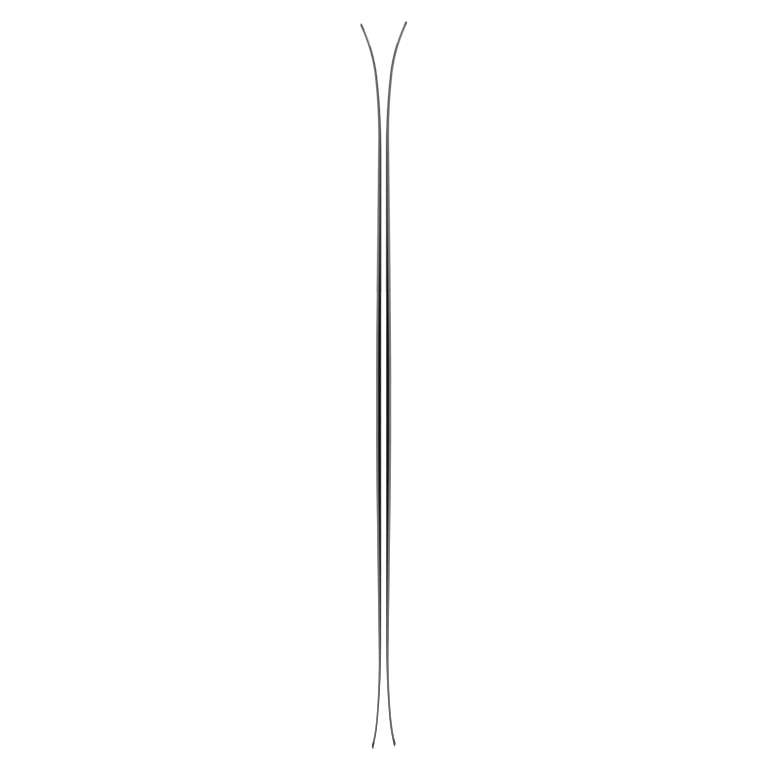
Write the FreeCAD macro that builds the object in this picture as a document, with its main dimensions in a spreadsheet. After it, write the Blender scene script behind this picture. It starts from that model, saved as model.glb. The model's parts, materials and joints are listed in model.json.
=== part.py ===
# A pair of touring cross country skis, stood on their tails with their bases together.
# Each ski is built lying along Z in its own frame: its base plane is X = 0, its top faces +X and its
# width runs along Y. The two skis then take their places either side of the pair's middle plane.
import FreeCAD
import Part
import Sketcher
import math
import os

# Driving dimensions in millimetres, and turns in degrees.
SIZES = [
    ("ski_length", 1890.0, "straight height from tail end to tip end"),
    ("base_gap", 11.6, "between the two running bases"),
    ("right_ski_lift", 6.0, "right ski stands this much higher"),
    ("waist_width", 52.0, "narrowest width, under the foot"),
    ("waist_position", 850.0, "from the tail end"),
    ("shovel_flare", 5.0, "half width gained from waist to shovel"),
    ("shovel_setback", 210.0, "widest point, from the tip end"),
    ("tail_flare", 2.5, "half width gained from waist to tail"),
    ("tail_setback", 140.0, "widest point, from the tail end"),
    ("nose_radius", 14.0, "round end of the tip, in plan"),
    ("tail_corner_radius", 14.0, "round corner of the tail, in plan"),
    ("tail_end_width", 20.0, "straight part of the tail end"),
    ("tip_lift_length", 332.0, "where the base starts to rise, from the tip end"),
    ("tip_near_radius", 1750.0, "base radius next to the contact point"),
    ("tip_near_turn", 6.3, "turn of that radius"),
    ("tip_far_radius", 420.0, "base radius up to the tip end"),
    ("tip_blend_radius", 1400.0, "top surface radius over the contact point"),
    ("tail_lift_length", 270.0, "where the base starts to rise, from the tail end"),
    ("tail_near_radius", 2250.0, "base radius next to the contact point"),
    ("tail_near_turn", 4.95, "turn of that radius"),
    ("tail_far_radius", 475.0, "base radius up to the tail end"),
    ("tail_blend_radius", 1800.0, "top surface radius over the contact point"),
    ("mount_start", 800.0, "flat top for the binding, lower end"),
    ("mount_length", 190.0, "length of the flat top"),
    ("crown_radius", 8000.0, "easing from the flat top into the tapers"),
    ("base_thickness", 1.4, "polyethylene running base"),
    ("lower_laminate_thickness", 0.8, "glass laminate under the core"),
    ("core_thickness", 11.0, "wood core under the binding"),
    ("spacer_thickness", 2.6, "core height at both ends"),
    ("upper_laminate_thickness", 0.6, "glass laminate over the core"),
    ("topsheet_thickness", 0.8, "outer cap"),
    ("bevel_size", 5.4, "45 degree bevel round the top"),
    ("sidewall_width", 7.0, "plastic sidewall beside the core"),
    ("core_end_setback", 160.0, "front end of the core, from the tip end"),
    ("core_start", 80.0, "rear end of the core, from the tail end"),
    ("stringer_width", 7.6, "one wood strip of the core"),
    ("plate_thickness", 1.5, "binding reinforcement in the core top"),
    ("plate_width", 34.0, "binding reinforcement"),
    ("plate_margin", 6.0, "flat top beyond each end of the reinforcement"),
    ("protector_length", 20.0, "tail protector, up from the tail end"),
    ("inlay_length", 60.0, "coloured base inlay, down from the tip end"),
    ("groove_radius", 9.0, "round section of the base groove"),
    ("groove_depth", 0.8, "depth of the base groove"),
    ("groove_margin", 40.0, "flat base beyond each end of the groove"),
    ("overrun", 12.0, "how far cutting shapes pass the ski's ends"),
    ("reach", 130.0, "half size of the cutting shapes across the ski"),
]

LOWER_STACK = ["base_thickness", "lower_laminate_thickness"]
UPPER_STACK = ["upper_laminate_thickness", "topsheet_thickness"]
SKIS = ["left_ski", "right_ski"]
STRINGERS = 5

START = 1
END = 2
CENTRE = 3
ORIGIN = (-1, 1)

doc = FreeCAD.newDocument("TouringSkis")
sheet = doc.addObject("Spreadsheet::Sheet", "Sizes")
for row, (alias, value, meaning) in enumerate(SIZES, start=1):
    sheet.set("A%d" % row, alias)
    sheet.set("B%d" % row, str(value))
    sheet.set("C%d" % row, meaning)
    sheet.setAlias("B%d" % row, alias)
doc.recompute()


def size(name):
    return float(sheet.get(name))


def total(names):
    return sum(size(name) for name in names)


def formula(names):
    return " + ".join("Sizes." + name for name in names) if names else "0"


# Places along the ski that several pieces share, as a value and as a formula for the sheet.
SHOVEL = (size("ski_length") - size("shovel_setback"), "Sizes.ski_length - Sizes.shovel_setback")
WAIST = (size("waist_position"), "Sizes.waist_position")
TAIL_WIDE = (size("tail_setback"), "Sizes.tail_setback")
CORE_END = (size("ski_length") - size("core_end_setback"), "Sizes.ski_length - Sizes.core_end_setback")
CORE_START = (size("core_start"), "Sizes.core_start")


# ---------------------------------------------------------------- sketch helpers

def new_body(name):
    return doc.addObject("PartDesign::Body", name)


def origin_plane(body, role):
    return [item for item in body.Origin.OriginFeatures if item.Role == role][0]


def new_sketch(body, plane_role, name):
    sketch = body.newObject("Sketcher::SketchObject", name)
    sketch.AttachmentSupport = [(origin_plane(body, plane_role), "")]
    sketch.MapMode = "FlatFace"
    return sketch


def bind(sketch, index, text):
    sketch.setExpression("Constraints[%d]" % index, text)


def pin(sketch, axis, geometry, position, value, text):
    """Hold one coordinate of a point to a formula."""
    if value < 0:
        rule = Sketcher.Constraint("Distance" + axis, geometry, position, *ORIGIN, -value)
        text = "-(%s)" % text
    else:
        rule = Sketcher.Constraint("Distance" + axis, *ORIGIN, geometry, position, value)
    bind(sketch, sketch.addConstraint(rule), text)


def set_radius(sketch, geometry, value, text):
    bind(sketch, sketch.addConstraint(Sketcher.Constraint("Radius", geometry, value)), text)


def join(sketch, first, first_end, second, second_end):
    rule = Sketcher.Constraint("Coincident", first, first_end, second, second_end)
    sketch.addConstraint(rule)


def join_smoothly(sketch, first, first_end, second, second_end):
    rule = Sketcher.Constraint("Tangent", first, first_end, second, second_end)
    sketch.addConstraint(rule)


def add_line(sketch, start, end):
    first = FreeCAD.Vector(start[0], start[1], 0)
    last = FreeCAD.Vector(end[0], end[1], 0)
    return sketch.addGeometry(Part.LineSegment(first, last), False)


def add_arc(sketch, centre, radius, first_angle, last_angle):
    """An arc runs anticlockwise from the first angle to the last, both in radians."""
    middle = FreeCAD.Vector(centre[0], centre[1], 0)
    circle = Part.Circle(middle, FreeCAD.Vector(0, 0, 1), radius)
    return sketch.addGeometry(Part.ArcOfCircle(circle, first_angle, last_angle), False)


def point_of(sketch, geometry, position):
    place = sketch.getPoint(geometry, position)
    return (place.x, place.y)


# ---------------------------------------------------------------- the two rising ends

class RisingEnd:
    """The base curve at the tip or the tail: a gentle arc from the contact point, then a tighter one.

    outward is +1 towards the tip and -1 towards the tail. Both arcs have their centres above the top.
    """

    def __init__(self, name, outward):
        self.name = name
        self.outward = outward
        self.near_radius = size(name + "_near_radius")
        self.far_radius = size(name + "_far_radius")
        self.blend_radius = size(name + "_blend_radius")
        self.turn = math.radians(size(name + "_near_turn"))
        self.turn_text = "Sizes.%s_near_turn * 1 deg" % name
        if outward > 0:
            self.contact = size("ski_length") - size("tip_lift_length")
            self.contact_text = "Sizes.ski_length - Sizes.tip_lift_length"
            self.limit = size("ski_length") + size("overrun")
            self.limit_text = "Sizes.ski_length + Sizes.overrun"
        else:
            self.contact = size("tail_lift_length")
            self.contact_text = "Sizes.tail_lift_length"
            self.limit = -size("overrun")
            self.limit_text = "-Sizes.overrun"
        # the gentle arc is centred over the contact point, the tighter one where their turns agree
        step = self.near_radius - self.far_radius
        self.near_centre = (self.near_radius, self.contact)
        self.far_centre = (
            self.near_radius - step * math.cos(self.turn),
            self.contact + outward * step * math.sin(self.turn),
        )

    def text(self, size_name):
        return "Sizes.%s_%s" % (self.name, size_name)

    def far_centre_text(self):
        step = "(%s - %s)" % (self.text("near_radius"), self.text("far_radius"))
        sign = "+" if self.outward > 0 else "-"
        across = "%s - %s * cos(%s)" % (self.text("near_radius"), step, self.turn_text)
        along = "%s %s %s * sin(%s)" % (self.contact_text, sign, step, self.turn_text)
        return across, along

    def meeting_text(self, level_text):
        """Where the top's last two arcs meet, at one level over the base line."""
        sign = "+" if self.outward > 0 else "-"
        radius = "(%s - (%s))" % (self.text("near_radius"), level_text)
        return "%s %s %s * sin(%s)" % (self.contact_text, sign, radius, self.turn_text)

    def rising_arc(self, sketch, centre, radius, inner_turn, outer_turn):
        """An arc that curves towards the top. Returns it with its inner and outer ends."""
        if self.outward > 0:
            arc = add_arc(sketch, centre, radius, math.pi - outer_turn, math.pi - inner_turn)
            return arc, END, START
        arc = add_arc(sketch, centre, radius, math.pi + inner_turn, math.pi + outer_turn)
        return arc, START, END

    def crown_arc(self, sketch, centre, radius, turn):
        """An arc that falls away from the flat top. Returns it with its inner and outer ends."""
        if self.outward > 0:
            return add_arc(sketch, centre, radius, 0.0, turn), START, END
        return add_arc(sketch, centre, radius, -turn, 0.0), END, START

    def outer_turn(self, radius):
        """Turn of the tighter arc where it meets the end of the cutting shape."""
        rise = self.outward * (self.limit - self.far_centre[1])
        return math.asin(rise / radius)


TIP = RisingEnd("tip", 1)
TAIL = RisingEnd("tail", -1)


def base_curve(sketch, names):
    """The base line raised by the named thicknesses. Returns its tail and tip ends."""
    level = total(names)
    text = formula(names)
    flat = add_line(sketch, (level, TAIL.contact), (level, TIP.contact))
    sketch.addConstraint(Sketcher.Constraint("Vertical", flat))
    pin(sketch, "X", flat, START, level, text)
    pin(sketch, "Y", flat, START, TAIL.contact, TAIL.contact_text)
    pin(sketch, "Y", flat, END, TIP.contact, TIP.contact_text)
    ends = []
    for end, flat_end in ((TAIL, START), (TIP, END)):
        near_radius = end.near_radius - level
        far_radius = end.far_radius - level
        near, near_in, near_out = end.rising_arc(sketch, end.near_centre, near_radius, 0.0, end.turn)
        far, far_in, far_out = end.rising_arc(
            sketch, end.far_centre, far_radius, end.turn, end.outer_turn(far_radius))
        join_smoothly(sketch, flat, flat_end, near, near_in)
        join_smoothly(sketch, near, near_out, far, far_in)
        set_radius(sketch, near, near_radius, "%s - (%s)" % (end.text("near_radius"), text))
        set_radius(sketch, far, far_radius, "%s - (%s)" % (end.text("far_radius"), text))
        rule = Sketcher.Constraint("Angle", near, end.turn)
        bind(sketch, sketch.addConstraint(rule), end.turn_text)
        pin(sketch, "Y", far, far_out, end.limit, end.limit_text)
        ends.append((far, far_out))
    return ends


def top_curve(sketch, names):
    """The core's top line raised by the named thicknesses. Returns its tail and tip ends.

    A flat top eases into two straight tapers. Each runs into an arc that meets the tighter
    base arc's own offset, so that the ends keep one thickness.
    """
    raised = total(names)
    raised_text = formula(names)
    height = total(LOWER_STACK) + size("core_thickness")
    height_text = formula(LOWER_STACK + ["core_thickness"] + names)
    end_level = total(LOWER_STACK) + size("spacer_thickness") + raised
    end_text = formula(LOWER_STACK + ["spacer_thickness"] + names)
    crown_radius = size("crown_radius")
    mount_end = size("mount_start") + size("mount_length")
    flat = add_line(sketch, (height + raised, size("mount_start")), (height + raised, mount_end))
    sketch.addConstraint(Sketcher.Constraint("Vertical", flat))
    pin(sketch, "X", flat, START, height + raised, height_text)
    pin(sketch, "Y", flat, START, size("mount_start"), "Sizes.mount_start")
    pin(sketch, "Y", flat, END, mount_end, "Sizes.mount_start + Sizes.mount_length")
    ends = []
    for end, flat_end, flat_place in ((TAIL, START, size("mount_start")), (TIP, END, mount_end)):
        meeting_radius = end.near_radius - end_level
        meeting_place = end.contact + end.outward * meeting_radius * math.sin(end.turn)
        meeting_across = end.near_radius - meeting_radius * math.cos(end.turn)
        blend_radius = end.blend_radius - raised
        far_radius = end.far_radius - end_level
        crown_centre = (height - crown_radius, flat_place)
        blend_centre = (
            meeting_across + blend_radius * math.cos(end.turn),
            meeting_place - end.outward * blend_radius * math.sin(end.turn),
        )
        # the taper is the line between the two circles that touches both
        across = blend_centre[0] - crown_centre[0]
        along = end.outward * (blend_centre[1] - crown_centre[1])
        radii = crown_radius + raised + blend_radius
        fall = math.atan2(along, across) - math.acos(radii / math.hypot(across, along))
        crown, crown_in, crown_out = end.crown_arc(
            sketch, crown_centre, crown_radius + raised, fall)
        blend, blend_in, blend_out = end.rising_arc(
            sketch, blend_centre, blend_radius, -fall, end.turn)
        taper = add_line(
            sketch, point_of(sketch, crown, crown_out), point_of(sketch, blend, blend_in))
        far, far_in, far_out = end.rising_arc(
            sketch, end.far_centre, far_radius, end.turn, end.outer_turn(far_radius))
        join_smoothly(sketch, flat, flat_end, crown, crown_in)
        join_smoothly(sketch, crown, crown_out, taper, START)
        join_smoothly(sketch, taper, END, blend, blend_in)
        join_smoothly(sketch, blend, blend_out, far, far_in)
        set_radius(sketch, crown, crown_radius + raised, "Sizes.crown_radius + (%s)" % raised_text)
        set_radius(sketch, blend, blend_radius, "%s - (%s)" % (end.text("blend_radius"), raised_text))
        set_radius(sketch, far, far_radius, "%s - (%s)" % (end.text("far_radius"), end_text))
        across_text, along_text = end.far_centre_text()
        pin(sketch, "X", far, CENTRE, end.far_centre[0], across_text)
        pin(sketch, "Y", far, CENTRE, end.far_centre[1], along_text)
        pin(sketch, "Y", far, far_out, end.limit, end.limit_text)
        pin(sketch, "Y", blend, blend_out, meeting_place, end.meeting_text(end_text))
        ends.append((far, far_out))
    return ends


def close_to_side(sketch, ends, outward):
    """Close a curve round one side of the ski with three straight lines."""
    (tail_curve, tail_end), (tip_curve, tip_end) = ends
    across = outward * size("reach")
    low = add_line(sketch, point_of(sketch, tail_curve, tail_end), (across, TAIL.limit))
    side = add_line(sketch, (across, TAIL.limit), (across, TIP.limit))
    high = add_line(sketch, (across, TIP.limit), point_of(sketch, tip_curve, tip_end))
    join(sketch, tail_curve, tail_end, low, START)
    join(sketch, low, END, side, START)
    join(sketch, side, END, high, START)
    join(sketch, high, END, tip_curve, tip_end)
    sketch.addConstraint(Sketcher.Constraint("Horizontal", low))
    sketch.addConstraint(Sketcher.Constraint("Vertical", side))
    sketch.addConstraint(Sketcher.Constraint("Horizontal", high))
    pin(sketch, "X", side, START, across, "%d * Sizes.reach" % outward)


# ---------------------------------------------------------------- plan outline

def pad_across(body, sketch, length_text):
    pad = body.newObject("PartDesign::Pad", body.Name + "_pad")
    pad.Profile = sketch
    pad.Midplane = True
    pad.setExpression("Length", length_text)
    return pad


def draw_outline(sketch):
    """Plan outline: two sidecut arcs a side, an ogive to the round nose, and a rounded tail."""
    half_waist = size("waist_width") / 2
    nose = sketch_nose(sketch)
    tail_half = size("tail_end_width") / 2
    tail_line = add_line(sketch, (-tail_half, 0), (tail_half, 0))
    pin(sketch, "X", tail_line, START, -tail_half, "-Sizes.tail_end_width / 2")
    pin(sketch, "X", tail_line, END, tail_half, "Sizes.tail_end_width / 2")
    sketch.addConstraint(Sketcher.Constraint("PointOnObject", tail_line, START, -1))
    sketch.addConstraint(Sketcher.Constraint("PointOnObject", tail_line, END, -1))
    for side, nose_end, line_end in ((1, START, END), (-1, END, START)):
        front, front_waist, shovel, front_turn = sidecut(sketch, side, "shovel_flare", SHOVEL, 1)
        rear, rear_waist, tail_wide, rear_turn = sidecut(sketch, side, "tail_flare", TAIL_WIDE, -1)
        join(sketch, front, front_waist, rear, rear_waist)
        pin(sketch, "X", front, front_waist, side * half_waist, "%d * Sizes.waist_width / 2" % side)
        pin(sketch, "Y", front, front_waist, *WAIST)
        shoulder, wide_end, tip_end = ogive(
            sketch, side, half_waist + size("shovel_flare"), SHOVEL[0], front_turn,
            0.0, size("ski_length") - size("nose_radius"), size("nose_radius"))
        join_smoothly(sketch, front, shovel, shoulder, wide_end)
        join_smoothly(sketch, shoulder, tip_end, nose, nose_end)
        corner_radius = size("tail_corner_radius")
        haunch, wide_end, corner_end = ogive(
            sketch, side, half_waist + size("tail_flare"), TAIL_WIDE[0], rear_turn,
            tail_half, corner_radius, corner_radius)
        centre = sketch.Geometry[haunch].Center
        angle = math.atan2(corner_radius - centre.y, side * (side * tail_half - centre.x))
        corner, corner_in, corner_out = mirrored_arc(
            sketch, side, (side * tail_half, corner_radius), corner_radius, -math.pi / 2, angle)
        join_smoothly(sketch, rear, tail_wide, haunch, wide_end)
        join_smoothly(sketch, haunch, corner_end, corner, corner_out)
        join_smoothly(sketch, corner, corner_in, tail_line, line_end)
        set_radius(sketch, corner, corner_radius, "Sizes.tail_corner_radius")


def mirrored_arc(sketch, side, centre, radius, first_angle, last_angle):
    """An arc given for the +Y side. Returns it with the ends at its first and last angles."""
    if side > 0:
        return add_arc(sketch, centre, radius, first_angle, last_angle), START, END
    arc = add_arc(sketch, centre, radius, math.pi - last_angle, math.pi - first_angle)
    return arc, END, START


def sketch_nose(sketch):
    radius = size("nose_radius")
    centre = (0.0, size("ski_length") - radius)
    centre_across, centre_along = ogive_centre(
        size("waist_width") / 2 + size("shovel_flare"), SHOVEL[0],
        sidecut_turn("shovel_flare", SHOVEL[0]), 0.0, centre[1], radius)[:2]
    angle = math.atan2(centre[1] - centre_along, -centre_across)
    nose = add_arc(sketch, centre, radius, angle, math.pi - angle)
    sketch.addConstraint(Sketcher.Constraint("PointOnObject", nose, CENTRE, -2))
    pin(sketch, "Y", nose, CENTRE, centre[1], "Sizes.ski_length - Sizes.nose_radius")
    set_radius(sketch, nose, radius, "Sizes.nose_radius")
    return nose


def sidecut_radius(flare_name, place):
    run = place - WAIST[0]
    flare = size(flare_name)
    return (run * run + flare * flare) / (2 * flare)


def sidecut_turn(flare_name, place):
    return math.asin(abs(place - WAIST[0]) / sidecut_radius(flare_name, place))


def sidecut(sketch, side, flare_name, place, outward):
    """The arc from the waist to the widest point. Returns it, its two ends and its turn."""
    half_waist = size("waist_width") / 2
    radius = sidecut_radius(flare_name, place[0])
    turn = sidecut_turn(flare_name, place[0])
    centre = (side * (half_waist + radius), WAIST[0])
    if outward > 0:
        arc, wide, waist = mirrored_arc(sketch, side, centre, radius, math.pi - turn, math.pi)
    else:
        arc, waist, wide = mirrored_arc(sketch, side, centre, radius, math.pi, math.pi + turn)
    width_text = "%d * (Sizes.waist_width / 2 + Sizes.%s)" % (side, flare_name)
    pin(sketch, "X", arc, wide, side * (half_waist + size(flare_name)), width_text)
    pin(sketch, "Y", arc, wide, *place)
    pin(sketch, "Y", arc, CENTRE, *WAIST)
    return arc, waist, wide, turn


def ogive_centre(half_width, place, turn, end_across, end_along, end_radius):
    """Centre and radius of the arc that leaves the sidecut smoothly and touches the end circle."""
    outward = 1 if end_along > place else -1
    run = abs(end_along - place)
    inset = half_width - end_across
    slack = 2 * (inset * math.cos(turn) + run * math.sin(turn) - end_radius)
    radius = (inset * inset + run * run - end_radius * end_radius) / slack
    return (half_width - radius * math.cos(turn), place + outward * radius * math.sin(turn), radius)


def ogive(sketch, side, half_width, place, turn, end_across, end_along, end_radius):
    """The long arc from the widest point towards the tip or the tail, with its two ends."""
    across, along, radius = ogive_centre(
        half_width, place, turn, end_across, end_along, end_radius)
    angle = math.atan2(end_along - along, end_across - across)
    centre = (side * across, along)
    if end_along > place:
        return mirrored_arc(sketch, side, centre, radius, -turn, angle)
    arc, low, high = mirrored_arc(sketch, side, centre, radius, angle, turn)
    return arc, high, low


def outline_prism(name):
    body = new_body(name)
    sketch = new_sketch(body, "YZ_Plane", name + "_outline")
    draw_outline(sketch)
    pad_across(body, sketch, "2 * Sizes.reach")
    return body


def inner_prism(name, inset_name):
    """The plan inside both sidecuts, set in by a named width, from end to end of the ski."""
    body = new_body(name)
    sketch = new_sketch(body, "YZ_Plane", name + "_plan")
    inset = size(inset_name)
    half_waist = size("waist_width") / 2
    edge_points = []
    for side in (1, -1):
        arcs = []
        for flare_name, place, end in (("shovel_flare", SHOVEL, TIP), ("tail_flare", TAIL_WIDE, TAIL)):
            radius = sidecut_radius(flare_name, place[0])
            centre = (side * (half_waist + radius), WAIST[0])
            wide_radius = radius + inset
            turn = math.asin(abs(end.limit - WAIST[0]) / wide_radius)
            if end.outward > 0:
                arc, wide, waist = mirrored_arc(
                    sketch, side, centre, wide_radius, math.pi - turn, math.pi)
            else:
                arc, waist, wide = mirrored_arc(
                    sketch, side, centre, wide_radius, math.pi, math.pi + turn)
            flare = "Sizes." + flare_name
            run_text = "(%s - Sizes.waist_position)" % place[1]
            radius_text = "(%s * %s + %s * %s) / (2 * %s)" % (run_text, run_text, flare, flare, flare)
            pin(sketch, "X", arc, CENTRE, centre[0],
                "%d * (Sizes.waist_width / 2 + %s)" % (side, radius_text))
            pin(sketch, "Y", arc, CENTRE, *WAIST)
            pin(sketch, "Y", arc, wide, end.limit, end.limit_text)
            arcs.append((arc, waist, wide))
        (front, front_waist, front_wide), (rear, rear_waist, rear_wide) = arcs
        join(sketch, front, front_waist, rear, rear_waist)
        pin(sketch, "X", front, front_waist, side * (half_waist - inset),
            "%d * (Sizes.waist_width / 2 - Sizes.%s)" % (side, inset_name))
        pin(sketch, "Y", front, front_waist, *WAIST)
        edge_points.append(((front, front_wide), (rear, rear_wide)))
    (right_front, right_rear), (left_front, left_rear) = edge_points
    for first, second in ((right_front, left_front), (left_rear, right_rear)):
        line = add_line(sketch, point_of(sketch, *first), point_of(sketch, *second))
        join(sketch, first[0], first[1], line, START)
        join(sketch, line, END, second[0], second[1])
    pad_across(body, sketch, "2 * Sizes.reach")
    return body


def slab(name, under, over):
    """A sheet of even thickness that follows the base line, between two stacks of thicknesses."""
    body = new_body(name)
    sketch = new_sketch(body, "XZ_Plane", name + "_side")
    lower = base_curve(sketch, under)
    upper = base_curve(sketch, over)
    for (first, first_end), (second, second_end) in zip(lower, upper):
        line = add_line(
            sketch, point_of(sketch, first, first_end), point_of(sketch, second, second_end))
        join(sketch, first, first_end, line, START)
        join(sketch, line, END, second, second_end)
    pad_across(body, sketch, "2 * Sizes.reach")
    return body


def bevelled_block(name, above_core):
    """Everything over the lower laminate up to one layer's top, with the bevel round its rim."""
    body = new_body(name + "_half")
    plan = new_sketch(body, "YZ_Plane", name + "_outline")
    draw_outline(plan)
    pad_across(body, plan, "2 * Sizes.reach")
    top = new_sketch(body, "XZ_Plane", name + "_top")
    close_to_side(top, top_curve(top, above_core), 1)
    cut_across(body, top, name + "_top_cut")
    # the rim is bevelled on one half, from past the nose round past the tail, then mirrored
    wide_half = new_sketch(body, "YZ_Plane", name + "_wide_half")
    draw_far_half(wide_half, -size("bevel_size"), "-Sizes.bevel_size")
    cut_across(body, wide_half, name + "_wide_half_cut")
    doc.recompute()
    half_block = body.Tip
    chamfer = body.newObject("PartDesign::Chamfer", name + "_bevel")
    chamfer.Base = (half_block, [tail_end_rim(half_block.Shape)])
    chamfer.ChamferType = "Equal distance"
    chamfer.setExpression("Size", "Sizes.bevel_size")
    half = new_sketch(body, "YZ_Plane", name + "_middle")
    draw_far_half(half, 0.0, "0")
    cut_across(body, half, name + "_middle_cut")
    bottom = new_sketch(body, "XZ_Plane", name + "_bottom")
    close_to_side(bottom, base_curve(bottom, LOWER_STACK), -1)
    cut_across(body, bottom, name + "_bottom_cut")
    mirrored = doc.addObject("Part::Mirroring", name + "_mirrored")
    mirrored.Source = body
    mirrored.Normal = (0, 1, 0)
    whole = combine("Fuse", name, body, mirrored)
    whole.Refine = True
    return whole


def draw_far_half(sketch, edge, edge_text):
    """A rectangle over the ski's -Y side, up to an edge at or below the middle."""
    low, high, far = TAIL.limit, TIP.limit, -size("reach")
    corners = [(edge, low), (edge, high), (far, high), (far, low)]
    sides = [add_line(sketch, corners[number - 1], corners[number]) for number in range(4)]
    for number, side in enumerate(sides):
        join(sketch, sides[number - 1], END, side, START)
        kind = "Horizontal" if number % 2 == 0 else "Vertical"
        sketch.addConstraint(Sketcher.Constraint(kind, side))
    pin(sketch, "X", sides[1], START, edge, edge_text)
    pin(sketch, "Y", sides[1], START, low, TAIL.limit_text)
    pin(sketch, "Y", sides[1], END, high, TIP.limit_text)
    pin(sketch, "X", sides[3], START, far, "-Sizes.reach")


def cut_across(body, sketch, name):
    pocket = body.newObject("PartDesign::Pocket", name)
    pocket.Profile = sketch
    pocket.Midplane = True
    pocket.Type = "ThroughAll"
    body.Tip = pocket
    return pocket


def tail_end_rim(shape):
    """The top edge of the tail end, where the rim starts: the bevel runs on round the smooth rim."""
    for number, edge in enumerate(shape.Edges, start=1):
        box = edge.BoundBox
        if box.XMin > 0 and box.ZMax < 0.01:
            return "Edge%d" % number
    raise RuntimeError("the tail end's rim was not found")


def zone(name, corner_texts, length_texts):
    """A plain box that keeps or removes one zone of the ski."""
    box = doc.addObject("Part::Box", name)
    for axis, text in zip("xyz", corner_texts):
        box.setExpression("Placement.Base." + axis, text)
    for side, text in zip(("Length", "Width", "Height"), length_texts):
        box.setExpression(side, text)
    return box


def zone_along(name, low_text, high_text):
    """A zone between two heights, right across the ski."""
    return zone(
        name,
        ("-Sizes.reach", "-Sizes.reach", low_text),
        ("2 * Sizes.reach", "2 * Sizes.reach", "%s - (%s)" % (high_text, low_text)))


def combine(kind, name, base, tool):
    result = doc.addObject("Part::" + kind, name)
    result.Base = base
    result.Tool = tool
    return result


def common(name, base, tool):
    return combine("Common", name, base, tool)


def cut(name, base, tool):
    return combine("Cut", name, base, tool)


# ---------------------------------------------------------------- shapes that the pieces share

outline = outline_prism("outline")
inside_walls = inner_prism("inside_walls", "sidewall_width")

base_slab = slab("base_slab", [], LOWER_STACK[:1])
laminate_slab = slab("laminate_slab", LOWER_STACK[:1], LOWER_STACK)

core_block = bevelled_block("core_block", [])
laminate_block = bevelled_block("laminate_block", UPPER_STACK[:1])
whole_block = bevelled_block("whole_block", UPPER_STACK)

TIP_LIMIT = "Sizes.ski_length + Sizes.overrun"
TAIL_LIMIT = "-Sizes.overrun"
core_zone = zone_along("core_zone", CORE_START[1], CORE_END[1])
tip_zone = zone_along("tip_zone", CORE_END[1], TIP_LIMIT)
tail_zone = zone_along("tail_zone", "Sizes.protector_length", CORE_START[1])
protector_zone = zone_along("protector_zone", TAIL_LIMIT, "Sizes.protector_length")
inlay_zone = zone_along("inlay_zone", "Sizes.ski_length - Sizes.inlay_length", TIP_LIMIT)

HALF_LENGTHS = ("2 * Sizes.reach", "Sizes.reach", "Sizes.ski_length + 2 * Sizes.overrun")
minus_half = zone("minus_half", ("-Sizes.reach", "-Sizes.reach", TAIL_LIMIT), HALF_LENGTHS)
plus_half = zone("plus_half", ("-Sizes.reach", "0", TAIL_LIMIT), HALF_LENGTHS)

CORE_TOP = formula(LOWER_STACK + ["core_thickness"])
PLATE_CORNER = (
    CORE_TOP + " - Sizes.plate_thickness",
    "-Sizes.plate_width / 2",
    "Sizes.mount_start + Sizes.plate_margin",
)
PLATE_LENGTHS = (
    "Sizes.plate_thickness",
    "Sizes.plate_width",
    "Sizes.mount_length - 2 * Sizes.plate_margin",
)
plate_block = zone("plate_block", PLATE_CORNER, PLATE_LENGTHS)


def groove_cutter():
    """A long round bar sunk into the base, with a ball at each end so that the groove runs out."""
    across = "Sizes.groove_depth - Sizes.groove_radius"
    low = "Sizes.tail_lift_length + Sizes.groove_margin"
    high = "Sizes.ski_length - Sizes.tip_lift_length - Sizes.groove_margin"
    bar = doc.addObject("Part::Cylinder", "groove_bar")
    bar.setExpression("Radius", "Sizes.groove_radius")
    bar.setExpression("Height", "%s - (%s)" % (high, low))
    bar.setExpression("Placement.Base.x", across)
    bar.setExpression("Placement.Base.z", low)
    shapes = [bar]
    for name, place in (("groove_low_end", low), ("groove_high_end", high)):
        ball = doc.addObject("Part::Sphere", name)
        ball.setExpression("Radius", "Sizes.groove_radius")
        ball.setExpression("Placement.Base.x", across)
        ball.setExpression("Placement.Base.z", place)
        shapes.append(ball)
    fused = doc.addObject("Part::MultiFuse", "groove_cutter")
    fused.Shapes = shapes
    return fused


# ---------------------------------------------------------------- the pieces of one ski

# the base is one sheet up to the coloured inlay at the tip
base_layer = common("base_layer", outline, base_slab)
base_main = cut("base_main", base_layer, inlay_zone)

# core layers: what is left of the core block beside the wood is sidewall
core_layer = common("core_layer", core_block, core_zone)
wall_pair = cut("wall_pair", core_layer, inside_walls)
wood_block = common("wood_block", core_layer, inside_walls)
wood_recessed = cut("wood_recessed", wood_block, plate_block)

# cap layers stop at the tail protector
laminate_shell = cut("laminate_shell", laminate_block, core_block)
cap_shell = cut("cap_shell", whole_block, laminate_block)

# each entry: the piece's name, the last operation, and what it works on
PIECES = [
    ("base_sheet", "Cut", base_main, groove_cutter()),
    ("base_tip_inlay", "Common", base_layer, inlay_zone),
    ("lower_laminate", "Common", outline, laminate_slab),
    ("binding_plate", "Common", wood_block, plate_block),
    ("tip_spacer", "Common", core_block, tip_zone),
    ("tail_spacer", "Common", core_block, tail_zone),
    ("upper_laminate", "Cut", laminate_shell, protector_zone),
    ("topsheet", "Cut", cap_shell, protector_zone),
    ("tail_protector", "Common", whole_block, protector_zone),
]


def stringer_zone(number):
    """The outer strips take up what the sidecut leaves beside the even ones."""
    middle = (STRINGERS - 1) / 2
    low = "(%g) * Sizes.stringer_width" % (number - middle - 0.5)
    high = "(%g) * Sizes.stringer_width" % (number - middle + 0.5)
    if number == 0:
        low = "-Sizes.reach"
    if number == STRINGERS - 1:
        high = "Sizes.reach"
    return zone(
        "stringer_zone_%d" % (number + 1),
        ("-Sizes.reach", low, TAIL_LIMIT),
        ("2 * Sizes.reach", "%s - (%s)" % (high, low), HALF_LENGTHS[2]))


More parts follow.
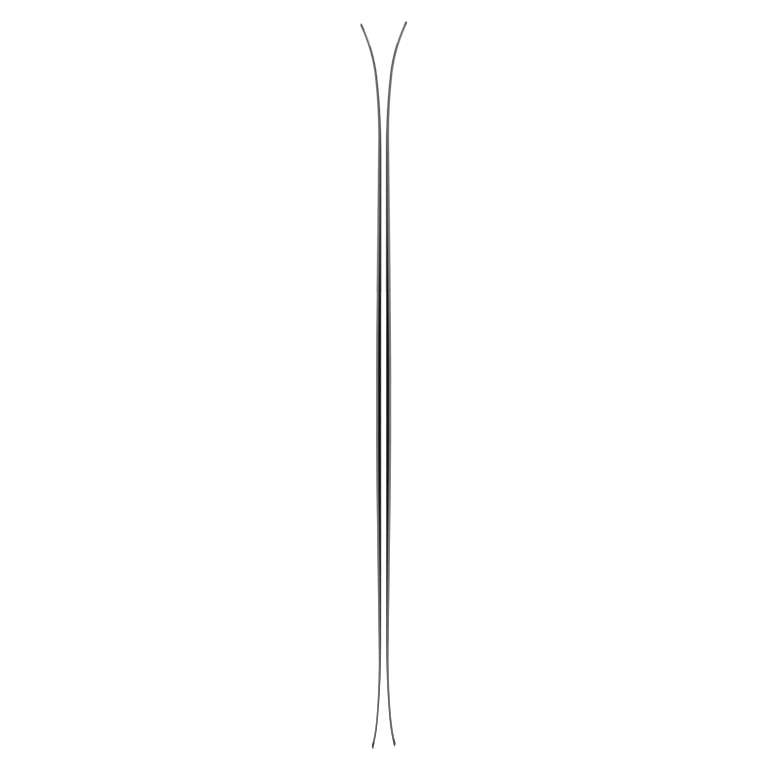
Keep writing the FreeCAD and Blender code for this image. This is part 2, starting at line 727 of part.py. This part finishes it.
stringer_zones = [stringer_zone(number) for number in range(STRINGERS)]


def place_piece(ski, name, kind, base, tool):
    """The last operation on a piece, placed in the pair. The left ski is turned to face left."""
    piece = combine(kind, ski + "_" + name, base, tool)
    piece.Label = ski + "_" + name
    if ski == "left_ski":
        half_turn = FreeCAD.Rotation(FreeCAD.Vector(0, 0, 1), 180)
        piece.Placement = FreeCAD.Placement(FreeCAD.Vector(0, 0, 0), half_turn)
        piece.setExpression("Placement.Base.x", "-Sizes.base_gap / 2")
    else:
        piece.setExpression("Placement.Base.x", "Sizes.base_gap / 2")
        piece.setExpression("Placement.Base.z", "Sizes.right_ski_lift")
    return piece


pieces = []
for ski in SKIS:
    for name, kind, base, tool in PIECES:
        pieces.append(place_piece(ski, name, kind, base, tool))
    # the front of the pair is its -Y side, which is the turned ski's +Y side
    halves = (plus_half, minus_half) if ski == "left_ski" else (minus_half, plus_half)
    for side_name, half in zip(("front", "back"), halves):
        pieces.append(place_piece(ski, "sidewall_" + side_name, "Common", wall_pair, half))
    ordered = stringer_zones[::-1] if ski == "left_ski" else stringer_zones
    for number, strip in enumerate(ordered, start=1):
        pieces.append(
            place_piece(ski, "core_stringer_%d" % number, "Common", wood_recessed, strip))

doc.recompute()

# ---------------------------------------------------------------- tests, then one file for each piece

for item in doc.Objects:
    faults = [state for state in item.State if state in ("Invalid", "Error")]
    if faults:
        raise RuntimeError("%s did not recompute: %s" % (item.Name, faults))

for piece in pieces:
    if piece.Shape.isNull() or not piece.Shape.isValid() or len(piece.Shape.Solids) != 1:
        raise RuntimeError("%s is not one sound solid" % piece.Label)

os.makedirs("parts", exist_ok=True)
for piece in pieces:
    piece.Shape.Solids[0].exportStep("parts/%s.step" % piece.Label)
    box = piece.Shape.BoundBox
    print("%-30s %10.1f mm3  z %.1f to %.1f" % (piece.Label, piece.Shape.Volume, box.ZMin, box.ZMax))
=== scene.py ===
# A pair of touring skis stood base to base: their finishes, the floor, the light and the camera.
import json
import math
import bpy
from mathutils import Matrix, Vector


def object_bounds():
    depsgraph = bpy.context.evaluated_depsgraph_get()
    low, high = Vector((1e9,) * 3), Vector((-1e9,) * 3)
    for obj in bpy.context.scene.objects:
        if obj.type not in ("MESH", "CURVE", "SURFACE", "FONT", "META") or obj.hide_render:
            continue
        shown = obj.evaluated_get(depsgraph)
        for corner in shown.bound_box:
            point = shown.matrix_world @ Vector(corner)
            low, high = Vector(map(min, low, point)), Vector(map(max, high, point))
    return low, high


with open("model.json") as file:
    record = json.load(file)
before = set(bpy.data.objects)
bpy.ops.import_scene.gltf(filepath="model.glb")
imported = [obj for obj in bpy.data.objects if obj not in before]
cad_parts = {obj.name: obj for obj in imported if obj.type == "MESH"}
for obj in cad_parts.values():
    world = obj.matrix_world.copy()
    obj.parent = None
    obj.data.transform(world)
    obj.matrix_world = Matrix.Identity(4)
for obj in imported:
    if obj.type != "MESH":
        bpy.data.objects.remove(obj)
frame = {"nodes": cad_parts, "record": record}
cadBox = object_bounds()
middleHeight = (cadBox[0].z + cadBox[1].z) / 2
print("frame loaded:", len(frame["nodes"]), "pieces")


# One output of a node, so that shader sums read as sums.
class Wire:
    def __init__(self, finish, node, output=0):
        self.finish = finish
        self.node = node
        self.socket = node.outputs[output]

    def out(self, output):
        return Wire(self.finish, self.node, output)

    def calc(self, operation, *parts):
        return self.finish.add("ShaderNodeMath", {"operation": operation}, dict(enumerate(parts)))

    def __add__(self, other):
        return self.calc("ADD", self, other)

    def __radd__(self, other):
        return self.calc("ADD", other, self)

    def __sub__(self, other):
        return self.calc("SUBTRACT", self, other)

    def __rsub__(self, other):
        return self.calc("SUBTRACT", other, self)

    def __mul__(self, other):
        return self.calc("MULTIPLY", self, other)

    def __rmul__(self, other):
        return self.calc("MULTIPLY", other, self)

    def __truediv__(self, other):
        return self.calc("DIVIDE", self, other)

    def __rtruediv__(self, other):
        return self.calc("DIVIDE", other, self)

    def size(self):
        return self.calc("ABSOLUTE", self)

    def highest(self, other):
        return self.calc("MAXIMUM", self, other)

    def repeat(self, step):
        return self.calc("PINGPONG", self, step)

    # 0 below the first value and 1 above the last, easing between them
    def rise(self, first, last):
        limits = {"Value": self, "From Min": first, "From Max": last}
        return self.finish.add("ShaderNodeMapRange", {"interpolation_type": "SMOOTHSTEP"}, limits)

    def spread(self, low, high):
        limits = {"Value": self, "To Min": low, "To Max": high}
        return self.finish.add("ShaderNodeMapRange", {}, limits)


# One material: its nodes, and the few recipes that several finishes share.
class Finish:
    def __init__(self, name):
        self.material = bpy.data.materials.new(name)
        self.material.use_nodes = True
        self.tree = self.material.node_tree
        self.tree.nodes.clear()
        self.place = self.add("ShaderNodeTexCoord").out("Object")
        self.across, self.wide, self.up = self.parts(self.place)

    def add(self, kind, settings=None, inputs=None):
        node = self.tree.nodes.new(kind)
        for key, value in (settings or {}).items():
            setattr(node, key, value)
        for key, value in (inputs or {}).items():
            if isinstance(value, Wire):
                self.tree.links.new(value.socket, node.inputs[key])
            else:
                node.inputs[key].default_value = value
        return Wire(self, node)

    def parts(self, vector):
        split = self.add("ShaderNodeSeparateXYZ", {}, {0: vector})
        return split, split.out(1), split.out(2)

    # the surface position with each axis stretched by its own number
    def stretched(self, x, y, z):
        return self.add("ShaderNodeVectorMath", {"operation": "MULTIPLY"}, {0: self.place, 1: (x, y, z)})

    def noise(self, place, detail=3.0, roughness=0.55):
        return self.add("ShaderNodeTexNoise", {}, {
            "Vector": place, "Scale": 1.0, "Detail": detail, "Roughness": roughness})

    def cells(self, place):
        return self.add("ShaderNodeTexVoronoi", {}, {"Vector": place, "Scale": 1.0})

    def mix(self, mask, first, second):
        made = self.add("ShaderNodeMix", {"data_type": "RGBA"}, {
            0: mask, 6: tint(first), 7: tint(second)})
        return made.out(2)

    def bump(self, height, depth):
        return self.add("ShaderNodeBump", {}, {"Height": height, "Distance": depth, "Strength": 1.0})

    # how far the surface faces across the ski's width: 0 on the top and base, 1 on the side
    def facing(self):
        normal = self.add("ShaderNodeNewGeometry").out("True Normal")
        return self.parts(normal)[1].size()

    # 1 on the thin cut edges, square to the ski
    def sideways(self):
        return self.facing().rise(0.85, 0.95)

    # fine scratches that run mostly along the ski; 1 in a scratch
    def scratches(self, density):
        lines = self.noise(self.stretched(260.0, 260.0, 5.0), 2.0, 0.5)
        patches = self.noise(self.stretched(14.0, 14.0, 5.5), 2.0, 0.6)
        return (lines - 0.5).size().rise(0.012, 0.0) * patches.rise(0.75 - density, 0.9 - density)

    def dust(self):
        return self.noise(self.stretched(22.0, 22.0, 16.0), 5.0, 0.62)

    def surface(self, settings, colour, roughness, normal=None):
        inputs = {"Base Color": tint(colour), "Roughness": roughness, **settings}
        if normal is not None:
            inputs["Normal"] = normal
        shader = self.add("ShaderNodeBsdfPrincipled", {}, inputs)
        end = self.tree.nodes.new("ShaderNodeOutputMaterial")
        self.tree.links.new(shader.socket, end.inputs["Surface"])
        return self.material


def solid(colour):
    return (colour[0], colour[1], colour[2], 1.0)


def tint(colour):
    return colour if isinstance(colour, Wire) else solid(colour)


# Outer cap: a satin lacquer over a fine fibre veil, a darker panel down the top and a lighter bevel,
# with painted shade darkening the bevel towards both ends.
capLook = {
    "bevelGrey": (0.098, 0.098, 0.094),
    "bevelShadedEnds": (0.046, 0.046, 0.044),
    "bevelShadeSpan": (0.30, 0.62),  # how far from mid height the painted shade on the bevel starts and reaches full strength
    "panelDark": (0.014, 0.014, 0.015),
    "panelLight": (0.085, 0.085, 0.085),
    "rimBlack": (0.002, 0.002, 0.002),
    "thread": (0.50, 0.41, 0.20),
    "chipped": (0.20, 0.20, 0.195),
    "shovelFade": (1.36, 1.74),
    "tailFade": (0.44, 0.16),
    "barStep": 0.030,
    "barSlope": 0.9,
    "threadFrom": 0.0135,  # each thread's distance from the middle of the ski
    "threadEdge": (0.0008, 0.0005),
    "veilDepth": 0.00004,
    "veilShare": 0.22,
    "cloudShare": 0.18,
    "scratchShare": 0.45,
    "nickShare": 0.6,
    "scratched": 0.16,
    "roughness": (0.30, 0.44),
    "coat": 0.35,
    "coatRoughness": 0.16,
}


def makeCapFinish():
    look = capLook
    cap = Finish("satinCap")
    rim = cap.sideways()
    bevel = cap.facing().rise(0.3, 0.5)
    veil = cap.noise(cap.stretched(900.0, 900.0, 55.0), 3.0, 0.6)
    cloud = cap.noise(cap.stretched(9.0, 9.0, 3.2), 3.0, 0.5)
    # the panel lightens towards both ends through slanted bars
    slant = cap.up + cap.wide.size() * look["barSlope"]
    halfStep = look["barStep"] / 2
    bars = slant.repeat(halfStep) / halfStep
    shovel = slant.rise(*look["shovelFade"])
    tail = 1 - slant.rise(look["tailFade"][1], look["tailFade"][0])
    ends = shovel.highest(tail)
    light = (bars + ends * 1.5 - 0.95).rise(0.0, 0.3)
    panel = cap.mix(light, look["panelDark"], look["panelLight"])
    # two thin threads beside the middle, broken where the bars start
    threadLine = (cap.wide.size() - look["threadFrom"]).size().rise(*look["threadEdge"])
    threads = threadLine * ends.rise(0.05, 0.3)
    panel = cap.mix(threads, panel, look["thread"])
    # painted shade: the bevel's grey darkens towards both ends of the ski
    endShade = (cap.up - middleHeight).size().rise(*look["bevelShadeSpan"])
    colour = cap.mix(bevel, panel, cap.mix(endShade, look["bevelGrey"], look["bevelShadedEnds"]))
    colour = cap.mix(veil.rise(0.45, 0.8) * look["veilShare"], colour, look["chipped"])
    colour = cap.mix(cloud.rise(0.45, 0.8) * look["cloudShare"], colour, look["panelDark"])
    scratch = cap.scratches(look["scratched"])
    colour = cap.mix(scratch * look["scratchShare"], colour, look["chipped"])
    nicks = cap.cells(cap.stretched(240.0, 240.0, 150.0)).rise(0.16, 0.08) * bevel
    worn = cap.noise(cap.stretched(12.0, 12.0, 7.0), 3.0, 0.6).rise(0.58, 0.68)
    colour = cap.mix(nicks * worn * look["nickShare"], colour, look["chipped"])
    colour = cap.mix(rim, colour, look["rimBlack"])
    roughness = veil.spread(*look["roughness"]) + scratch * 0.2 + cap.dust() * 0.06
    height = veil * 0.5 - scratch - nicks * worn
    coat = (1 - rim) * (1 - scratch) * look["coat"]
    return cap.surface(
        {"Coat Weight": coat, "Coat Roughness": look["coatRoughness"], "Specular IOR Level": 0.45},
        colour, roughness, cap.bump(height, look["veilDepth"]))


# Sidewall: black plastic milled along the ski.
wallLook = {
    "black": (0.0008, 0.0008, 0.0009),
    "rubbed": (0.004, 0.004, 0.004),
    "roughness": (0.50, 0.68),
    "millDepth": 0.00003,
    "scratched": 0.2,
    "shine": 0.03,
}


def makeWallFinish():
    look = wallLook
    wall = Finish("milledSidewall")
    mill = wall.noise(wall.stretched(1400.0, 1400.0, 9.0), 2.0, 0.5)
    chatter = wall.noise(wall.stretched(4.0, 4.0, 620.0), 1.0, 0.5)
    rubbed = wall.dust().rise(0.58, 0.78)
    scratch = wall.scratches(look["scratched"])
    colour = wall.mix(rubbed * 0.5 + scratch * 0.5, look["black"], look["rubbed"])
    roughness = mill.spread(*look["roughness"]) - scratch * 0.1
    height = mill + chatter * 0.25 - scratch * 0.8
    return wall.surface(
        {"Specular IOR Level": look["shine"]}, colour, roughness, wall.bump(height, look["millDepth"]))


# Running base: black sintered plastic with a stone-ground pattern and a little dry wax.
baseLook = {
    "black": (0.010, 0.010, 0.011),
    "graphite": (0.030, 0.030, 0.033),
    "wax": (0.085, 0.088, 0.092),
    "cutEdge": (0.002, 0.002, 0.002),
    "edgeDark": 1.0,
    "colourEnd": (1.950, 1.955),
    "grindPitch": 0.0011,
    "grindSlope": 0.18,
    "grindWander": 0.0006,
    "grindDepth": 0.00005,
    "scratched": 0.24,
    "endSlope": 0.12,
    "roughness": (0.30, 0.55),
    "shine": 0.35,
}


def grindLines(finish, look, slope):
    wobble = finish.noise(finish.stretched(8.0, 8.0, 30.0), 2.0, 0.5) * look["grindWander"]
    lines = finish.wide + finish.up * slope + wobble
    return lines.repeat(look["grindPitch"]) / look["grindPitch"]


def makeBaseFinish(name, look):
    base = Finish(name)
    grind = grindLines(base, look, look["grindSlope"]) * grindLines(base, look, -look["grindSlope"])
    specks = base.cells(base.stretched(1600.0, 1600.0, 1600.0)).rise(0.35, 0.1)
    dry = base.noise(base.stretched(30.0, 30.0, 6.0), 4.0, 0.6).rise(0.5, 0.78)
    scratch = base.scratches(look["scratched"])
    colour = base.mix(specks * 0.5 + grind * 0.25, look["black"], look["graphite"])
    colour = base.mix(dry * 0.35 + scratch * 0.4, colour, look["wax"])
    # the colour stops short of the tip end, a little lower on the left ski
    end = (base.up - base.across * look["endSlope"]).rise(*look["colourEnd"])
    colour = base.mix(base.sideways() * look["edgeDark"], colour, look["cutEdge"])
    colour = base.mix(end, colour, look["cutEdge"])
    roughness = dry.spread(*look["roughness"]) + grind * 0.1
    height = grind - scratch * 1.5
    return base.surface(
        {"Specular IOR Level": look["shine"]}, colour, roughness, base.bump(height, look["grindDepth"]))


# The coloured piece of base at the tip: the same ground plastic, dull gold.
inlayLook = {
    **baseLook,
    "black": (0.42, 0.355, 0.175),
    "graphite": (0.52, 0.46, 0.28),
    "wax": (0.62, 0.58, 0.45),
    "edgeDark": 0.0,
    "colourEnd": (1.876, 1.879),
}


# Glass laminates: dark resin over straight glass rovings.
glassLook = {
    "resin": (0.006, 0.006, 0.006),
    "roving": (0.030, 0.031, 0.027),
    "bubble": (0.07, 0.07, 0.065),
    "rovingWidth": 0.0012,
    "rovingWander": 0.001,
    "roughness": (0.28, 0.42),
    "depth": 0.00006,
}


def makeGlassFinish():
    look = glassLook
    glass = Finish("glassLaminate")
    wander = glass.noise(glass.stretched(20.0, 20.0, 9.0), 2.0, 0.5) * look["rovingWander"]
    roving = (glass.wide + wander).repeat(look["rovingWidth"]) / look["rovingWidth"]
    strands = glass.noise(glass.stretched(3000.0, 3000.0, 30.0), 2.0, 0.5)
    bubbles = glass.cells(glass.stretched(700.0, 700.0, 300.0)).rise(0.12, 0.05)
    fibres = roving.rise(0.15, 0.9) * strands.spread(0.5, 1.0)
    colour = glass.mix(fibres, look["resin"], look["roving"])
    colour = glass.mix(bubbles * 0.4, colour, look["bubble"])
    return glass.surface(
        {"Specular IOR Level": 0.25}, colour, strands.spread(*look["roughness"]),
        glass.bump(roving + strands * 0.4, look["depth"]))


# Moulded black pieces: the spacers between the skins, and the tail protector with its coarser grain.
mouldLook = {
    "black": (0.008, 0.008, 0.008),
    "grey": (0.040, 0.040, 0.040),
    "roughness": (0.48, 0.64),
}


def makeMouldedFinish(name, grainScale, grainDepth, wear):
    look = mouldLook
    moulded = Finish(name)
    grain = moulded.cells(moulded.stretched(grainScale, grainScale, grainScale))
    flow = moulded.noise(moulded.stretched(60.0, 60.0, 60.0), 4.0, 0.6)
    scratch = moulded.scratches(wear)
    paler = grain * 0.4 + flow.rise(0.45, 0.8) * 0.4 + scratch * 0.5
    colour = moulded.mix(paler, look["black"], look["grey"])
    return moulded.surface(
        {"Specular IOR Level": 0.22}, colour, flow.spread(*look["roughness"]) - scratch * 0.1,
        moulded.bump(grain - scratch, grainDepth))


# Wood strips of the core: growth rings cut lengthwise, with pores.
woodLooks = {
    "core_light": {
        "pale": (0.72, 0.55, 0.34),
        "late": (0.50, 0.33, 0.17),
        "ringGap": 0.0034,
        "pores": 0.15,
    },
    "core_dark": {
        "pale": (0.50, 0.30, 0.155),
        "late": (0.30, 0.16, 0.075),
        "ringGap": 0.0021,
        "pores": 0.5,
    },
    "core_outer": {
        "pale": (0.62, 0.43, 0.245),
        "late": (0.36, 0.21, 0.105),
        "ringGap": 0.0028,
        "pores": 0.8,
    },
}
woodGrain = {"pore": (0.12, 0.065, 0.03), "sway": 0.02, "depth": 0.00008, "roughness": (0.52, 0.74)}


def makeWoodFinish(name, look):
    wood = Finish(name)
    sway = wood.noise(wood.stretched(5.0, 5.0, 1.4), 2.0, 0.5) * woodGrain["sway"]
    rings = (wood.wide * 0.75 + wood.across * 0.6 + sway).repeat(look["ringGap"]) / look["ringGap"]
    fibre = wood.noise(wood.stretched(1800.0, 1800.0, 22.0), 3.0, 0.6)
    openings = wood.noise(wood.stretched(2600.0, 2600.0, 120.0), 1.0, 0.5).rise(0.66, 0.72)
    pores = openings * look["pores"]
    colour = wood.mix(rings.rise(0.45, 0.95) * 0.8, look["pale"], look["late"])
    colour = wood.mix(fibre.rise(0.35, 0.8) * 0.3, colour, look["late"])
    colour = wood.mix(pores, colour, woodGrain["pore"])
    return wood.surface(
        {"Specular IOR Level": 0.25}, colour, fibre.spread(*woodGrain["roughness"]),
        wood.bump(fibre * 0.5 - pores + rings * 0.2, woodGrain["depth"]))


# Reinforcement under the binding: rolled aluminium sheet with a brushed keying for the glue.
plateLook = {
    "bright": (0.66, 0.67, 0.68),
    "dull": (0.50, 0.51, 0.52),
    "roughness": (0.26, 0.46),
    "brushDepth": 0.00002,
}


def makePlateFinish():
    look = plateLook
    plate = Finish("rolledPlate")
    brushed = plate.noise(plate.stretched(40.0, 60.0, 2600.0), 3.0, 0.6)
    mottled = plate.noise(plate.stretched(90.0, 90.0, 90.0), 4.0, 0.6)
    colour = plate.mix(mottled.rise(0.3, 0.8), look["bright"], look["dull"])
    return plate.surface(
        {"Metallic": 1.0}, colour, brushed.spread(*look["roughness"]) + mottled * 0.08,
        plate.bump(brushed, look["brushDepth"]))


finishes = {
    "topsheet": makeCapFinish(),
    "sidewall": makeWallFinish(),
    "base": makeBaseFinish("groundBase", baseLook),
    "base_inlay": makeBaseFinish("goldInlay", inlayLook),
    "laminate": makeGlassFinish(),
    "spacer": makeMouldedFinish("mouldedSpacer", 700.0, 0.00003, 0.1),
    "protector": makeMouldedFinish("mouldedProtector", 420.0, 0.00008, 0.3),
    "plate": makePlateFinish(),
}
for slotName, look in woodLooks.items():
    finishes[slotName] = makeWoodFinish(slotName + "Strip", look)
for piece in frame["record"]["subparts"]:
    for slot in frame["nodes"][piece["node"]].material_slots:
        slot.material = finishes[piece["material_slot"]]
print("finishes made:", len(finishes))

# A wide pale floor under the tails, and even light from all round with three soft boxes.
studio = {
    "floorHalf": 60.0,
    "floorDrop": 0.0005,
    "floorGrey": (0.86, 0.86, 0.86),
    "floorDull": (0.84, 0.84, 0.84),
    "floorGlow": 0.50,  # light from below, so that the thin tails cast no line
    "skyWhite": (1.0, 1.0, 1.0),
    "skyStrength": 1.05,
    "boxes": [
        {"name": "keyBox", "at": (-1.6, -2.6, 3.4), "size": 2.6, "power": 30.0},
        {"name": "fillBox", "at": (2.6, -1.4, 2.6), "size": 2.2, "power": 20.0},
        {"name": "backBox", "at": (0.4, 3.2, 3.2), "size": 2.8, "power": 30.0},
    ],
}


def makeFloor():
    half = studio["floorHalf"]
    mesh = bpy.data.meshes.new("floor")
    corners = [(-half, -half, 0.0), (half, -half, 0.0), (half, half, 0.0), (-half, half, 0.0)]
    mesh.from_pydata(corners, [], [(0, 1, 2, 3)])
    floor = bpy.data.objects.new("floor", mesh)
    bpy.context.scene.collection.objects.link(floor)
    floor.location.z = cadBox[0].z - studio["floorDrop"]
    paint = Finish("floorPaint")
    mottled = paint.noise(paint.stretched(1.3, 1.3, 1.3), 3.0, 0.5)
    colour = paint.mix(mottled * 0.2, studio["floorGrey"], studio["floorDull"])
    glow = {"Emission Color": solid(studio["skyWhite"]), "Emission Strength": studio["floorGlow"]}
    mesh.materials.append(paint.surface({"Specular IOR Level": 0.1, **glow}, colour, 0.8))


def makeLight():
    world = bpy.data.worlds.new("studioWhite")
    world.use_nodes = True
    sky = world.node_tree.nodes["Background"]
    sky.inputs["Color"].default_value = solid(studio["skyWhite"])
    sky.inputs["Strength"].default_value = studio["skyStrength"]
    bpy.context.scene.world = world
    middle = (cadBox[0] + cadBox[1]) / 2
    for box in studio["boxes"]:
        lamp = bpy.data.lights.new(box["name"], "AREA")
        lamp.size = box["size"]
        lamp.energy = box["power"]
        holder = bpy.data.objects.new(box["name"], lamp)
        bpy.context.scene.collection.objects.link(holder)
        holder.location = box["at"]
        aim = Vector(middle) - Vector(box["at"])
        holder.rotation_euler = aim.to_track_quat("-Z", "Y").to_euler()
    bpy.context.scene.view_settings.view_transform = "Standard"


# A long lens well back, a little above the tips and a little to the right.
shot = {
    "lens": 180.0,
    "sensor": 36.0,
    "seenHeight": 1.9995,
    "aim": (0.0008, 0.0, 0.9536),
    "azimuth": 0.6,
    "elevation": 2.5,
    "farthest": 200.0,
}


def makeCamera():
    camera = bpy.data.cameras.new("camera")
    camera.lens = shot["lens"]
    camera.sensor_width = shot["sensor"]
    holder = bpy.data.objects.new("camera", camera)
    bpy.context.scene.collection.objects.link(holder)
    azimuth, elevation = math.radians(shot["azimuth"]), math.radians(shot["elevation"])
    back = Vector((
        math.sin(azimuth) * math.cos(elevation),
        -math.cos(azimuth) * math.cos(elevation),
        math.sin(elevation)))
    distance = shot["seenHeight"] * shot["lens"] / shot["sensor"]
    holder.location = Vector(shot["aim"]) + back * distance
    holder.rotation_mode = "QUATERNION"
    holder.rotation_quaternion = (-back).to_track_quat("-Z", "Y")
    camera.clip_end = shot["farthest"]
    bpy.context.scene.camera = holder


makeFloor()
makeLight()
makeCamera()
print("floor, light and camera made")
